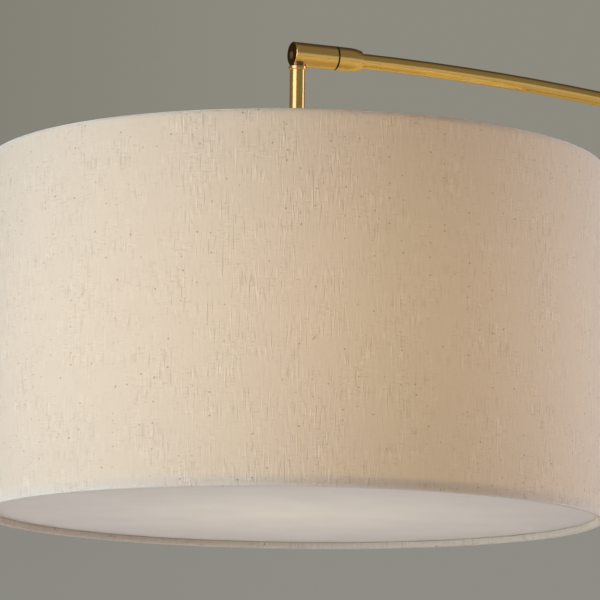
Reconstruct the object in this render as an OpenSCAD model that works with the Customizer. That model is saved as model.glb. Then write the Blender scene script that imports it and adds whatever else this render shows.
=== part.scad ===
// Arc floor lamp. A round weighted base carries a straight pole in three lengths. A curved arm
// turns in the socket on top of the pole and reaches over to a swivel elbow, from which a linen
// drum shade hangs on a short stem. An opal diffuser lies on the shade's bottom ring.
// Millimetres, +Z up. The origin is the centre of the base's underside, on the pole's axis, and
// the shade is on the -X side.

/* [Base] */
// Diameter of the base
base_d = 340; // [300:1:400]
// Height of the base, felt included
base_h = 32; // [30:1:45]
// Radius of the cover's top edge
base_edge_r = 9; // [4:1:14]
// Wall of the spun cover
cover_t = 1.2; // [0.8:0.1:2]
// Thickness of the felt pad
felt_t = 2; // [1.5:0.5:4]
// Diameter of the turned collar at the pole's foot
foot_collar_d = 58; // [45:1:80]
// Height of the turned collar at the pole's foot
foot_collar_h = 14; // [10:1:20]
// Diameter of the bolt that holds the pole to the base
bolt_d = 12; // [10:1:14]
// Thickness of the bolt's washer
bolt_washer_t = 2; // [1:0.5:3]

/* [Pole] */
// Outer diameter of the pole
pole_d = 25; // [24:0.5:30]
// Wall of the pole's tubes
pole_wall = 1.5; // [1:0.1:2]
// Length of each of the three pole sections
section_l = 440; // [300:1:500]
// Height of the ring that shows between two sections
coupler_h = 5; // [3:0.5:10]
// Depth to which a plug or spigot enters a tube
spigot_l = 26; // [20:1:40]
// Diameter of the hole for the lead's bushing
outlet_d = 9; // [8:0.5:10]

/* [Switch] */
// Diameter of the switch housing
housing_d = 36; // [34:0.5:44]
// Height of the switch housing, caps included
housing_h = 58; // [52:1:75]
// Wall of the switch housing
housing_wall = 1.5; // [1:0.1:2.5]
// Diameter of the knob
knob_d = 20; // [16:0.5:26]
// Length of the knob
knob_l = 13; // [11:0.5:20]
// Diameter of the switch's shaft
shaft_d = 6; // [5:0.5:6.5]
// Diameter of the switch's threaded nose
nose_d = 10; // [9:0.5:12]

/* [Arm] */
// Outer diameter of the arm's tube
arm_d = 12.7; // [12.7:0.1:16]
// Wall of the arm's tube
arm_wall = 1.2; // [0.8:0.1:1.6]
// Radius of the long arc, at the tube's centre
arm_front_r = 2500; // [1800:10:3500]
// Slope of the arm where the long arc ends
arm_front_angle = 12; // [10:0.5:16]
// Radius of the middle arc, at the tube's centre
arm_mid_r = 900; // [600:10:1400]
// Slope of the arm where the middle arc ends
arm_mid_angle = 37; // [28:0.5:50]
// Radius of the bend above the pole, at the tube's centre
arm_bend_r = 300; // [200:5:400]
// Length of the ring that shows where two of the arm's tubes join
arm_ring_l = 4; // [3:0.5:8]
// Straight length that shows between the socket and the bend
tail_show = 20; // [10:1:60]
// Length of the tail inside the socket
tail_l = 55; // [40:1:60]
// Height of the arm socket above the pole
arm_socket_h = 45; // [40:1:60]
// Diameter of the arm socket's neck
arm_socket_d = 21; // [20:0.5:24]
// Diameter of the clamp screw's thread
clamp_d = 6; // [5:0.5:8]
// Diameter of the clamp screw's head
clamp_head_d = 16; // [12:0.5:22]

/* [Elbow] */
// Diameter of the elbow's barrel and of the arm's end collar
elbow_d = 20; // [20:0.5:26]
// Length of the barrel
elbow_l = 38.5; // [36:0.5:50]
// Distance from the stem's axis to the barrel's free end
elbow_end = 5.2; // [5:0.1:6]
// Diameter of the bore inside the barrel
elbow_bore_d = 16; // [15:0.5:17]
// Thickness of the barrel's end wall at the swivel
elbow_wall_l = 6; // [4:0.5:8]
// Thickness of the plug that closes the free end
elbow_cap_t = 1.5; // [1:0.1:1.5]
// Diameter of the boss under the barrel
boss_d = 14; // [13:0.5:16]
// Length of the end collar on the arm
collar_l = 22.5; // [20:0.5:30]
// Diameter of the collar where it meets the arm's tube
collar_end_d = 17; // [16.5:0.1:18]
// Depth to which the arm's tube enters the collar
collar_depth = 12; // [9:0.5:13]
// Outer diameter of the hollow spindle
spindle_d = 10; // [9:0.5:11]
// Visible seam between the barrel and the collar
seam_gap = 0.7; // [0.6:0.1:1.2]

/* [Stem] */
// Outer diameter of the stem
stem_d = 12.7; // [12.7:0.1:14]
// Wall of the stem
stem_wall = 1; // [0.8:0.1:1.2]
// Length of the stem
stem_l = 108.5; // [80:0.5:160]
// Diameter of the ring on top of the stem
stem_ring_d = 15; // [14.5:0.1:17]
// Height of the ring on top of the stem
stem_ring_h = 3; // [2:0.5:5]
// Outer diameter of the threaded nipples at the stem's ends
nipple_d = 8; // [7:0.5:8]

/* [Shade] */
// Diameter of the shade
shade_d = 508; // [400:2:600]
// Height of the shade
shade_h = 290; // [240:2:350]
// Thickness of the linen
fabric_t = 0.7; // [0.5:0.1:1.2]
// Thickness of the stiff liner behind the linen
liner_t = 0.7; // [0.5:0.1:1.2]
// Diameter of the wire of the two rings and of the spider's arms
wire_d = 4; // [3:0.5:5]
// Depth of the spider's hub below the shade's top edge
hub_drop = 25; // [15:1:45]
// Diameter of the spider's hub
hub_d = 42; // [38:1:60]
// Thickness of the spider's hub
hub_t = 2.5; // [2:0.5:4]
// Number of arms on the spider
spider_arms = 3; // [3:1:4]
// Thickness of the diffuser
diffuser_t = 2; // [2:0.5:4]
// Gap between the diffuser's edge and the liner
diffuser_gap = 0.9; // [0.6:0.1:2]

/* [Lamp holder and bulb] */
// Diameter of the lamp holder
socket_d = 36; // [35:0.5:40]
// Length of the lamp holder
socket_l = 48; // [46:0.5:49]
// Diameter of the bulb's cap
bulb_cap_d = 26; // [25:0.1:26.4]
// Length of the bulb's cap
bulb_cap_l = 24; // [22:0.5:26]
// Diameter of the bulb's globe
bulb_d = 60; // [50:1:80]
// Length of the bulb's glass below its cap
bulb_l = 84; // [80:1:110]

/* [Lead] */
// Diameter of the internal lead
lead_d = 4; // [3:0.5:4.5]
// Radius of the lead's bends
lead_bend_r = 6; // [5:0.5:7]

/* [Fits] */
// Radial gap of a plug, spigot or nipple in its tube
plug_gap = 0.05; // [0.03:0.01:0.1]
// Radial running gap of a shaft that turns
run_gap = 0.05; // [0.03:0.01:0.1]
// Gap between faces that turn past each other
face_gap = 0.3; // [0.3:0.05:0.5]
// Radial gap of the lead in its bushing
lead_gap = 0.2; // [0.1:0.05:0.3]

/* [Hidden] */
$fn = 96;
over = 1;                                           // how far a cut runs past the face it opens
bond = 0.05;                                        // glue line between parts that are fixed

brass = [0.70, 0.56, 0.32];
dark_brass = [0.30, 0.22, 0.12];
steel = [0.62, 0.63, 0.65];
iron = [0.25, 0.25, 0.26];
linen = [0.85, 0.79, 0.70];
opal = [0.93, 0.91, 0.87];
plastic = [0.12, 0.12, 0.12];

// Heights of the stand
coupler_z = base_h + section_l;
middle_z = coupler_z + coupler_h;
housing_z = middle_z + section_l;
upper_z = housing_z + housing_h;
pole_top_z = upper_z + section_l;
socket_top_z = pole_top_z + arm_socket_h;
tail_end_z = socket_top_z - tail_l;
bend_z = socket_top_z + tail_show;

// Base
base_r = base_d / 2;
weight_top_z = base_h - cover_t - plug_gap;
bolt_head_af = 1.6 * bolt_d;                        // across the flats
bolt_head_h = 0.65 * bolt_d;
washer_d = 2.8 * bolt_d;
felt_gap = 2;                                       // air between the bolt's head and the felt
recess_h = bolt_head_h + bolt_washer_t + felt_gap;
recess_d = washer_d + 10;
bolt_hole_d = bolt_d + 0.4;
bolt_short = 4;                                     // how far the bolt ends below the plug's top
foot_neck_d = pole_d + 5;                           // neck of the turned collar

// Pole
pole_id = pole_d - 2 * pole_wall;
spigot_d = pole_id - 2 * plug_gap;
lead_hole_d = 2 * lead_d;                           // loose hole for the lead in couplers and caps
bead = 1;                                           // how far rings and caps stand out from the pole
outlet_z = base_h + spigot_l + outlet_d + lead_d;
bushing_flange_t = 1.5;
bushing_flange_d = outlet_d + 3;

// Switch
cap_h = 6;                                          // height of each housing cap
cap_lip = 3;                                        // its lip inside the housing
housing_id = housing_d - 2 * housing_wall;
housing_mid_z = housing_z + housing_h / 2;
switch_w = 20;
shaft_bore_x = switch_w / 4;                        // where the shaft's bore ends inside the switch
switch_h = 24;
switch_nut_t = 2.5;
nut_x = housing_d / 2;                              // where the nut bears on the housing
nose_end = nut_x + switch_nut_t + 1;                // where the threaded nose ends
knob_x = nose_end + face_gap;                       // where the knob starts
knob_front_t = 3;                                   // what closes the knob in front of the shaft
shaft_end = knob_x + knob_l - knob_front_t;
nut_margin = 5;                                     // a thin nut's flats, wider than its thread
flute_n = 20;                                       // grooves around a knob or screw head
flute_d = 1.6;
bevel = 1;                                          // bevel at the front of a knob or screw head

// Arm
arm_id = arm_d - 2 * arm_wall;
arm_socket_bore = arm_d + 2 * run_gap;
clamp_z = socket_top_z - 16;                        // height of the clamp screw
clamp_tip = arm_d / 2 + face_gap;
clamp_head_x = arm_socket_d / 2 + 3;                // where its head starts
clamp_head_h = 7;
front_x = arm_front_r * sin(arm_front_angle);
front_drop = arm_front_r * (1 - cos(arm_front_angle));
mid_x = arm_mid_r * (sin(arm_mid_angle) - sin(arm_front_angle));
mid_drop = arm_mid_r * (cos(arm_front_angle) - cos(arm_mid_angle));
bend_x = arm_bend_r * (1 - sin(arm_mid_angle));
bend_drop = arm_bend_r * cos(arm_mid_angle);
function arc_angle(l, r) = l * 180 / (PI * r);      // what a length takes up of an arc
tube_short = arm_ring_l / 2 + 2 * plug_gap;         // how far a tube ends before the middle of a ring
arm_spigot_d = arm_id - 2 * plug_gap;
arm_ring_d = arm_d + bead;
spigot_cut = 1;                                     // where a coupler's spigots end inside its ring

// Elbow: places along the arm's axis are measured from the stem's axis
barrel_end = elbow_l - elbow_end;
collar_start = barrel_end + seam_gap;
collar_end = collar_start + collar_l;
collar_straight = collar_l / 2;
tube_start = collar_end - collar_depth;
spindle_id = lead_d + 2;
lead_step = 0.05;                                   // step in radius between two runs of the lead
lead_weld = 0.5;                                    // how far its runs reach over each other
spring_washer_t = 1.2;
swivel_nut_l = 5;
washer_start = barrel_end - elbow_wall_l - face_gap - spring_washer_t;
nut_start = washer_start - swivel_nut_l;
spindle_start = nut_start - 1;
inner_fit_d = elbow_bore_d - 1;                     // washer and nut, loose in the barrel's bore
washer_in = 0.6;                                    // how far the friction washer lies in from the edge
boss_below = 0.5;                                   // what shows of the boss below the barrel
edge = 0.5;                                         // small chamfer on turned ends

// From the pole's axis to the stem's, and the height of the arm's axis at the elbow, in full
// hundredths so that faces that meet there match exactly
reach = round(100 * (collar_end + front_x + mid_x + bend_x)) / 100;
elbow_z = round(100 * (bend_z + bend_drop + mid_drop + front_drop)) / 100;

// Stem and shade
stem_top_z = elbow_z - elbow_d / 2 - boss_below - stem_ring_h;
hub_z = stem_top_z - stem_l;                        // top of the spider's hub
rim_top_z = hub_z + hub_drop;
rim_z = rim_top_z - shade_h;
nipple_l = 12;                                      // how far a nipple enters the stem
stem_plug_l = nipple_l + 1;                         // length of the stem's end plugs
nipple_hole_d = nipple_d + 2 * plug_gap;
nipple_id = lead_d + 1;
shade_r = shade_d / 2;
wire_r = wire_d / 2;
liner_r = shade_r - fabric_t - bond;
ring_r = liner_r - liner_t - bond - wire_r;         // centre of the rings' wire
ring_in = fabric_t + bond + wire_r;                 // from the rim to the wire's centre
hem_r = ring_r - wire_r - bond - fabric_t;          // inside of the turned edge
hem_h = 2 * (fabric_t + bond) + wire_d;
hem_round = 2;
notch_w = wire_d + 3;                               // gap in the top hem at each spider arm
diffuser_r = liner_r - liner_t - diffuser_gap;

// Lamp holder and bulb, measured down from the holder's top
nut_l = 5;
nut_af = nipple_d + 6;                              // across the flats
nipple_out = 4;                                     // what shows of the nipple inside the holder
holder_z = hub_z - hub_t - nut_l;
holder_wall = 1.2;
holder_cap_h = 18;
holder_neck_d = 18;
holder_shoulder_h = 7;
shell_d = socket_d - 2 * (holder_wall + plug_gap);
shell_wall = 1;
shell_top = 10;
insulator_d = shell_d - 2 * (shell_wall + plug_gap);
insulator_top = 12;
insulator_floor = 3;
insulator_in = 2;                                   // how far the insulator ends inside the shell
screw_shell_in = 4;                                 // how far the screw shell ends inside the shell
screw_shell_wall = 0.5;
screw_shell_id = bulb_cap_d + 0.8;
screw_shell_d = screw_shell_id + 2 * screw_shell_wall;
contact_d = 8;
contact_t = 1.5;
bulb_contact_d = 10;
bulb_contact_t = 2.5;
bulb_top = insulator_top + insulator_floor + contact_t + bond;
bulb_cap_top = bulb_top + bulb_contact_t;
bulb_cap_end = bulb_cap_top + bulb_cap_l;
glass_t = 1;
cap_wall = 0.8;
cap_cone_h = 4;                                     // cone at the top of the bulb's cap
neck_r = bulb_cap_d / 2 - cap_wall - 2 * bond;
neck_in = 4;                                        // how far the neck enters the cap
globe_share = 0.94;                                 // share of the globe's radius where the neck starts

// ---------- shared shapes ----------

module tube(od, id, h) {
    difference() {
        cylinder(d = od, h = h);
        translate([0, 0, -over]) cylinder(d = id, h = h + 2 * over);
    }
}

// A child that stands on +Z lies along +X, starting at x on the arm's axis at the elbow
module on_elbow(x) {
    translate([x - reach, 0, elbow_z]) rotate([0, 90, 0]) children();
}

// A child that stands on +Z lies along the arm at a point where its slope is given
module on_arm(x, z, slope) {
    translate([x, 0, z]) rotate([0, 90 + slope, 0]) children();
}

// A child that stands on +Z is placed on the stem's axis at height z
module on_stem(z) {
    translate([-reach, 0, z]) children();
}

// A round bar swept along an arc in the XZ plane, from one angle to another
module arc_sweep(r, from, to, d) {
    rotate([90, 0, 0]) rotate([0, 0, from]) rotate_extrude(angle = to - from)
        translate([r, 0]) circle(d = d);
}

// Stretches of the arm's three arcs, by the arm's slope at their ends
module front_arc(from, to, d) {
    translate([collar_end - reach, 0, elbow_z - arm_front_r]) mirror([1, 0, 0])
        arc_sweep(arm_front_r, 90 + from, 90 + to, d);
}

module mid_arc(from, to, d) {
    translate([
        collar_end + front_x - arm_mid_r * sin(arm_front_angle) - reach, 0,
        elbow_z - front_drop - arm_mid_r * cos(arm_front_angle)
    ]) mirror([1, 0, 0]) arc_sweep(arm_mid_r, 90 + from, 90 + to, d);
}

module bend_arc(from, to, d) {
    translate([-arm_bend_r, 0, bend_z]) arc_sweep(arm_bend_r, 90 - to, 90 - from, d);
}

// Round bar with grooves along its side, standing on z = 0
module fluted(d, h) {
    difference() {
        union() {
            cylinder(d = d, h = h - bevel);
            translate([0, 0, h - bevel]) cylinder(d1 = d, d2 = d - 2 * bevel, h = bevel);
        }
        for (i = [0 : flute_n - 1]) rotate([0, 0, i * 360 / flute_n])
            translate([d / 2 + flute_d / 4, 0, -over]) cylinder(d = flute_d, h = h + 2 * over, $fn = 24);
    }
}

module hex_bar(af, h) {
    cylinder(d = af / cos(30), h = h, $fn = 6);
}

// ---------- base ----------

module base_felt() {
    color("dimgray") cylinder(r = base_r - cover_t, h = felt_t);
}

// Half section of a disc with a round top edge
module disc_section(r, h, edge_r) {
    square([r - edge_r, h]);
    square([r, h - edge_r]);
    translate([r - edge_r, h - edge_r]) intersection() {
        circle(r = edge_r);
        square(edge_r);
    }
}

module base_cover() {
    inner_r = base_r - cover_t;
    color(brass) difference() {
        translate([0, 0, felt_t]) rotate_extrude($fn = 180) difference() {
            disc_section(base_r, base_h - felt_t, base_edge_r);
            translate([0, -over])
                disc_section(inner_r, base_h - felt_t - cover_t + over, base_edge_r - cover_t);
        }
        translate([0, 0, base_h - cover_t - over]) cylinder(d = bolt_hole_d, h = cover_t + 2 * over);
    }
}

module base_weight() {
    r = base_r - cover_t - plug_gap;
    color(iron) translate([0, 0, felt_t]) difference() {
        rotate_extrude($fn = 180)
            disc_section(r, weight_top_z - felt_t, base_edge_r - cover_t);
        translate([0, 0, -over]) cylinder(d = bolt_hole_d, h = base_h);
        translate([0, 0, -over]) cylinder(d = recess_d, h = recess_h + over);
    }
}

module base_washer() {
    color(steel) translate([0, 0, felt_t + recess_h - bolt_washer_t])
        tube(washer_d, bolt_hole_d, bolt_washer_t);
}

module base_bolt() {
    head_z = felt_t + recess_h - bolt_washer_t - bolt_head_h;
    color(steel) translate([0, 0, head_z]) {
        hex_bar(bolt_head_af, bolt_head_h);
        cylinder(d = bolt_d, h = base_h + spigot_l - bolt_short - head_z);
    }
}

module pole_foot_plug() {
    color(steel) translate([0, 0, base_h]) tube(spigot_d, bolt_d + 2 * plug_gap, spigot_l);
}

// Turned collar: a low flange, a cove and a neck that hugs the pole
module foot_collar() {
    flange_h = foot_collar_h * 0.3;
    cove_r = min(foot_collar_h - flange_h - edge, (foot_collar_d - foot_neck_d) / 2 - 2 * edge);
    color(brass) translate([0, 0, base_h]) rotate_extrude() difference() {
        union() {
            square([foot_collar_d / 2, flange_h]);
            square([foot_neck_d / 2, foot_collar_h]);
            difference() {
                square([foot_neck_d / 2 + cove_r, flange_h + cove_r]);
                translate([foot_neck_d / 2 + cove_r, flange_h + cove_r]) circle(r = cove_r);
            }
        }
        translate([0, -over]) square([pole_d / 2 + plug_gap, foot_collar_h + 2 * over]);
    }
}

// ---------- pole ----------

module pole_tube(z) {
    translate([0, 0, z]) tube(pole_d, pole_id, section_l);
}

module pole_lower() {
    color(brass) difference() {
        pole_tube(base_h);
        translate([0, 0, outlet_z]) rotate([0, 90, 0]) cylinder(d = outlet_d + 2 * plug_gap, h = pole_d);
    }
}

// Bushing in the pole's rear wall, where the mains lead would leave
module cord_bushing() {
    color(plastic) difference() {
        translate([0, 0, outlet_z]) rotate([0, 90, 0]) {
            cylinder(d = outlet_d, h = pole_d / 2 + bushing_flange_t);
            cylinder(d = bushing_flange_d, h = pole_d / 2 + bushing_flange_t);
        }
        translate([0, 0, outlet_z - bushing_flange_d]) difference() {
            cylinder(d = pole_d + 2 * plug_gap, h = 2 * bushing_flange_d);
            translate([0, 0, bushing_flange_d]) rotate([0, 90, 0]) cylinder(d = outlet_d, h = pole_d);
        }
        translate([0, 0, outlet_z - bushing_flange_d]) cylinder(d = pole_id, h = 2 * bushing_flange_d);
        translate([0, 0, outlet_z]) rotate([0, 90, 0]) cylinder(d = lead_d + 2 * lead_gap, h = pole_d);
    }
}

module pole_middle() {
    color(brass) pole_tube(middle_z);
}

module pole_upper() {
    color(brass) pole_tube(upper_z);
}

module pole_coupler() {
    color(brass) translate([0, 0, coupler_z]) rotate_extrude() difference() {
        union() {
            translate([0, -spigot_l]) square([spigot_d / 2, coupler_h + 2 * spigot_l]);
            square([pole_d / 2 + bead, coupler_h]);
        }
        translate([0, -spigot_l - over]) square([lead_hole_d / 2, coupler_h + 2 * (spigot_l + over)]);
    }
}

// ---------- switch ----------

// Housing cap with the spigot that enters the pole, standing on z = 0 with the spigot down
module housing_cap() {
    rotate_extrude() difference() {
        union() {
            translate([0, -spigot_l]) square([spigot_d / 2, spigot_l + over]);
            polygon([
                [0, 0], [pole_d / 2 + bead, 0], [housing_d / 2, cap_h / 2], [housing_d / 2, cap_h], [0, cap_h]
            ]);
            square([housing_id / 2 - plug_gap, cap_h + cap_lip]);
        }
        translate([0, -spigot_l - over]) square([lead_hole_d / 2, spigot_l + cap_h + cap_lip + 2 * over]);
    }
}

module switch_cap_lower() {
    color(brass) translate([0, 0, housing_z]) housing_cap();
}

module switch_cap_upper() {
    color(brass) translate([0, 0, upper_z]) mirror([0, 0, 1]) housing_cap();
}

module switch_housing() {
    color(brass) difference() {
        translate([0, 0, housing_z + cap_h]) tube(housing_d, housing_id, housing_h - 2 * cap_h);
        translate([0, 0, housing_mid_z]) rotate([0, -90, 0])
            cylinder(d = nose_d + 2 * plug_gap, h = housing_d);
    }
}

// Switch block inside the housing, with a threaded nose through the wall
module switch_body() {
    color(plastic) translate([0, 0, housing_mid_z]) difference() {
        union() {
            cube([switch_w, switch_w, switch_h], center = true);
            rotate([0, -90, 0]) cylinder(d = nose_d, h = nose_end);
        }
        rotate([0, -90, 0]) translate([0, 0, shaft_bore_x])
            cylinder(d = shaft_d + 2 * run_gap, h = housing_d);
    }
}

module switch_nut() {
    color(brass) translate([-nut_x, 0, housing_mid_z]) rotate([0, -90, 0])
        difference() {
            hex_bar(nose_d + nut_margin, switch_nut_t);
            translate([0, 0, -over]) cylinder(d = nose_d + 2 * plug_gap, h = switch_nut_t + 2 * over);
        }
}

module switch_shaft() {
    start = shaft_bore_x + face_gap;
    color(steel) translate([-start, 0, housing_mid_z]) rotate([0, -90, 0])
        cylinder(d = shaft_d, h = shaft_end - start);
}

module switch_knob() {
    color(dark_brass) translate([-knob_x, 0, housing_mid_z]) rotate([0, -90, 0]) difference() {
        fluted(knob_d, knob_l);
        translate([0, 0, -over])
            cylinder(d = shaft_d + 2 * plug_gap, h = knob_l - knob_front_t + bond + over);
    }
}

// ---------- arm socket and clamp ----------

module arm_socket() {
    body_r = pole_d / 2 + bead / 2;
    body_h = 0.2 * arm_socket_h;
    taper_h = 0.12 * arm_socket_h;
    color(brass) difference() {
        translate([0, 0, pole_top_z]) rotate_extrude() difference() {
            union() {
                translate([0, -spigot_l]) square([spigot_d / 2, spigot_l + over]);
                polygon([
                    [0, 0], [body_r, 0], [body_r, body_h],
                    [arm_socket_d / 2, body_h + taper_h], [arm_socket_d / 2, arm_socket_h - edge],
                    [arm_socket_d / 2 - edge, arm_socket_h], [0, arm_socket_h]
                ]);
            }
            translate([0, arm_socket_h - tail_l - face_gap])
                square([arm_socket_bore / 2, tail_l + face_gap + over]);
            translate([0, -spigot_l - over]) square([lead_hole_d / 2, spigot_l + arm_socket_h]);
        }
        translate([0, 0, clamp_z]) rotate([0, 90, 0]) cylinder(d = clamp_d + 2 * run_gap, h = pole_d);
    }
}

module clamp_screw() {
    color(brass) translate([0, 0, clamp_z]) rotate([0, 90, 0]) {
        translate([0, 0, clamp_tip]) cylinder(d = clamp_d, h = clamp_head_x - clamp_tip);
        translate([0, 0, clamp_head_x]) fluted(clamp_head_d, clamp_head_h);
    }
}

// ---------- arm ----------

module arm_rear() {
    start = arm_mid_angle + arc_angle(tube_short, arm_bend_r);
    color(brass) difference() {
        union() {
            translate([0, 0, tail_end_z]) cylinder(d = arm_d, h = bend_z - tail_end_z);
            bend_arc(start, 90, arm_d);
        }
        translate([0, 0, tail_end_z - over]) cylinder(d = arm_id, h = bend_z - tail_end_z + over);
        bend_arc(start - arc_angle(over, arm_bend_r), 90, arm_id);
    }
}

module arm_middle() {
    short = arc_angle(tube_short, arm_mid_r);
    extra = arc_angle(over, arm_mid_r) - short;
    color(brass) difference() {
        mid_arc(arm_front_angle + short, arm_mid_angle - short, arm_d);
        mid_arc(arm_front_angle - extra, arm_mid_angle + extra, arm_id);
    }
}

module arm_front() {
    end = arm_front_angle - arc_angle(tube_short, arm_front_r);
    color(brass) difference() {
        union() {
            on_elbow(tube_start) cylinder(d = arm_d, h = collar_depth);
            front_arc(0, end, arm_d);
        }
        on_elbow(tube_start - over) cylinder(d = arm_id, h = collar_depth + over);
        front_arc(0, end + arc_angle(over, arm_front_r), arm_id);
    }
}

// Ring with a straight bore at a point of the arm, around the two spigots given as children
module arm_coupler(x, z, slope) {
    color(brass) difference() {
        union() {
            on_arm(x, z, slope) cylinder(d = arm_ring_d, h = arm_ring_l, center = true);
            children();
        }
        on_arm(x, z, slope) cylinder(d = spindle_id, h = 4 * spigot_l, center = true);
    }
}

module arm_coupler_front() {
    arm_coupler(collar_end + front_x - reach, elbow_z - front_drop, arm_front_angle) {
        front_arc(
            arm_front_angle - arc_angle(spigot_l, arm_front_r),
            arm_front_angle - arc_angle(spigot_cut, arm_front_r), arm_spigot_d
        );
        mid_arc(
            arm_front_angle + arc_angle(spigot_cut, arm_mid_r),
            arm_front_angle + arc_angle(spigot_l, arm_mid_r), arm_spigot_d
        );
    }
}

module arm_coupler_rear() {
    arm_coupler(-bend_x, bend_z + bend_drop, arm_mid_angle) {
        mid_arc(
            arm_mid_angle - arc_angle(spigot_l, arm_mid_r),
            arm_mid_angle - arc_angle(spigot_cut, arm_mid_r), arm_spigot_d
        );
        bend_arc(
            arm_mid_angle + arc_angle(spigot_cut, arm_bend_r),
            arm_mid_angle + arc_angle(spigot_l, arm_bend_r), arm_spigot_d
        );
    }
}

// Half section of the collar: straight, then a shallow convex taper to the arm's tube
module collar_section() {
    taper_l = collar_l - collar_straight;
    drop = (elbow_d - collar_end_d) / 2;
    taper_r = (taper_l * taper_l + drop * drop) / (2 * drop);
    polygon([
        [0, 0], [elbow_d / 2 - edge / 2, 0], [elbow_d / 2, edge / 2],
        [elbow_d / 2, collar_straight], [0, collar_straight]
    ]);
    translate([0, collar_straight]) intersection() {
        polygon([
            [0, 0], [elbow_d / 2, 0], [elbow_d / 2, taper_l - 2 * edge],
            [collar_end_d / 2 - edge, taper_l], [0, taper_l]
        ]);
        translate([elbow_d / 2 - taper_r, 0]) circle(r = taper_r, $fn = 360);
    }
}

module arm_collar() {
    color(brass) on_elbow(collar_start) rotate_extrude() difference() {
        collar_section();
        translate([0, -over]) square([spindle_d / 2 + plug_gap, collar_l - collar_depth + over]);
        translate([0, collar_l - collar_depth - plug_gap])
            square([arm_d / 2 + plug_gap, collar_depth + plug_gap + over]);
    }
}

module swivel_spindle() {
    color(steel) on_elbow(spindle_start)
        tube(spindle_d, spindle_id, tube_start - 2 * plug_gap - spindle_start);
}

module friction_washer() {
    t = seam_gap - face_gap;
    color(plastic) on_elbow(collar_start - t) tube(elbow_d - 2 * washer_in, spindle_d + 2 * plug_gap, t);
}

module spring_washer() {
    color(steel) on_elbow(washer_start) tube(inner_fit_d, spindle_d + 2 * plug_gap, spring_washer_t);
}

module swivel_nut() {
    color(steel) on_elbow(nut_start) difference() {
        hex_bar(inner_fit_d * cos(30), swivel_nut_l);
        translate([0, 0, -over]) cylinder(d = spindle_d + 2 * plug_gap, h = swivel_nut_l + 2 * over);
    }
}

// ---------- elbow and stem ----------

module elbow_barrel() {
    color(brass) difference() {
        union() {
            on_elbow(-elbow_end) rotate_extrude() polygon([
                [0, 0], [elbow_d / 2 - edge, 0], [elbow_d / 2, edge],
                [elbow_d / 2, elbow_l - edge / 2], [elbow_d / 2 - edge / 2, elbow_l], [0, elbow_l]
            ]);
            intersection() {
                on_stem(elbow_z - elbow_d / 2 - boss_below)
                    cylinder(d = boss_d, h = elbow_d / 2 + boss_below);
                translate([-reach - elbow_end, -boss_d, 0]) cube([2 * boss_d, 2 * boss_d, elbow_z]);
            }
        }
        on_elbow(-elbow_end - over) cylinder(d = elbow_bore_d, h = elbow_l - elbow_wall_l + over);
        on_elbow(-elbow_end) cylinder(d = spindle_d + 2 * run_gap, h = elbow_l + over);
        on_stem(elbow_z - elbow_d) cylinder(d = nipple_hole_d, h = elbow_d);
    }
}

module elbow_cap() {
    color(dark_brass) on_elbow(-elbow_end) cylinder(d = elbow_bore_d - 2 * plug_gap, h = elbow_cap_t);
}

module elbow_nipple() {
    top = elbow_z - elbow_bore_d / 2 - 2 * plug_gap;
    color(steel) on_stem(stem_top_z - nipple_l) tube(nipple_d, nipple_id, top - stem_top_z + nipple_l);
}

module stem_ring() {
    color(brass) on_stem(stem_top_z) rotate_extrude() difference() {
        polygon([
            [0, 0], [stem_ring_d / 2 - edge, 0], [stem_ring_d / 2, edge],
            [stem_ring_d / 2, stem_ring_h - edge], [stem_ring_d / 2 - edge, stem_ring_h], [0, stem_ring_h]
        ]);
        translate([0, -over]) square([nipple_hole_d / 2, stem_ring_h + 2 * over]);
    }
}

// Tube with a brazed, threaded plug in each end
module stem() {
    color(brass) on_stem(hub_z) difference() {
        cylinder(d = stem_d, h = stem_l);
        translate([0, 0, -over]) cylinder(d = nipple_hole_d, h = stem_l + 2 * over);
        translate([0, 0, stem_plug_l]) cylinder(d = stem_d - 2 * stem_wall, h = stem_l - 2 * stem_plug_l);
    }
}

module socket_nipple() {
    bottom = holder_z - holder_wall - nipple_out;
    color(steel) on_stem(bottom) tube(nipple_d, nipple_id, hub_z + nipple_l - bottom);
}

// ---------- lamp holder and bulb ----------

module spider_nut() {
    color(brass) on_stem(holder_z) difference() {
        hex_bar(nut_af, nut_l);
        translate([0, 0, -over]) cylinder(d = nipple_hole_d, h = nut_l + 2 * over);
    }
}

// Half section of the holder's cap, measured down from its top; it shrinks by t inside
module holder_section(t) {
    low = -holder_cap_h - (t > 0 ? over : 0);
    polygon([
        [0, -t], [holder_neck_d / 2 - t, -t], [socket_d / 2 - t, -holder_shoulder_h - t],
        [socket_d / 2 - t, low], [0, low]
    ]);
}

module socket_cap() {
    color(brass) on_stem(holder_z) rotate_extrude() difference() {
        holder_section(0);
        holder_section(holder_wall);
        translate([0, -holder_cap_h]) square([nipple_hole_d / 2, holder_cap_h + over]);
    }
}

module socket_shell() {
    color(brass) on_stem(holder_z - socket_l)
        tube(shell_d, shell_d - 2 * shell_wall, socket_l - shell_top);
}

module socket_insulator() {
    l = socket_l - insulator_top - insulator_in;
    color("ivory") on_stem(holder_z - insulator_top - l) difference() {
        cylinder(d = insulator_d, h = l);
        translate([0, 0, -over]) cylinder(d = screw_shell_d + 2 * plug_gap, h = l - insulator_floor + over);
    }
}

module socket_screw_shell() {
    bottom = socket_l - screw_shell_in;
    color(brass) on_stem(holder_z - bottom)
        tube(screw_shell_d, screw_shell_id, bottom - insulator_top - insulator_floor);
}

module socket_contact() {
    color(steel) on_stem(holder_z - insulator_top - insulator_floor - contact_t)
        cylinder(d = contact_d, h = contact_t);
}

module bulb_contact() {
    color(steel) on_stem(holder_z - bulb_cap_top)
        cylinder(d1 = bulb_contact_d, d2 = contact_d, h = bulb_contact_t);
}

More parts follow.
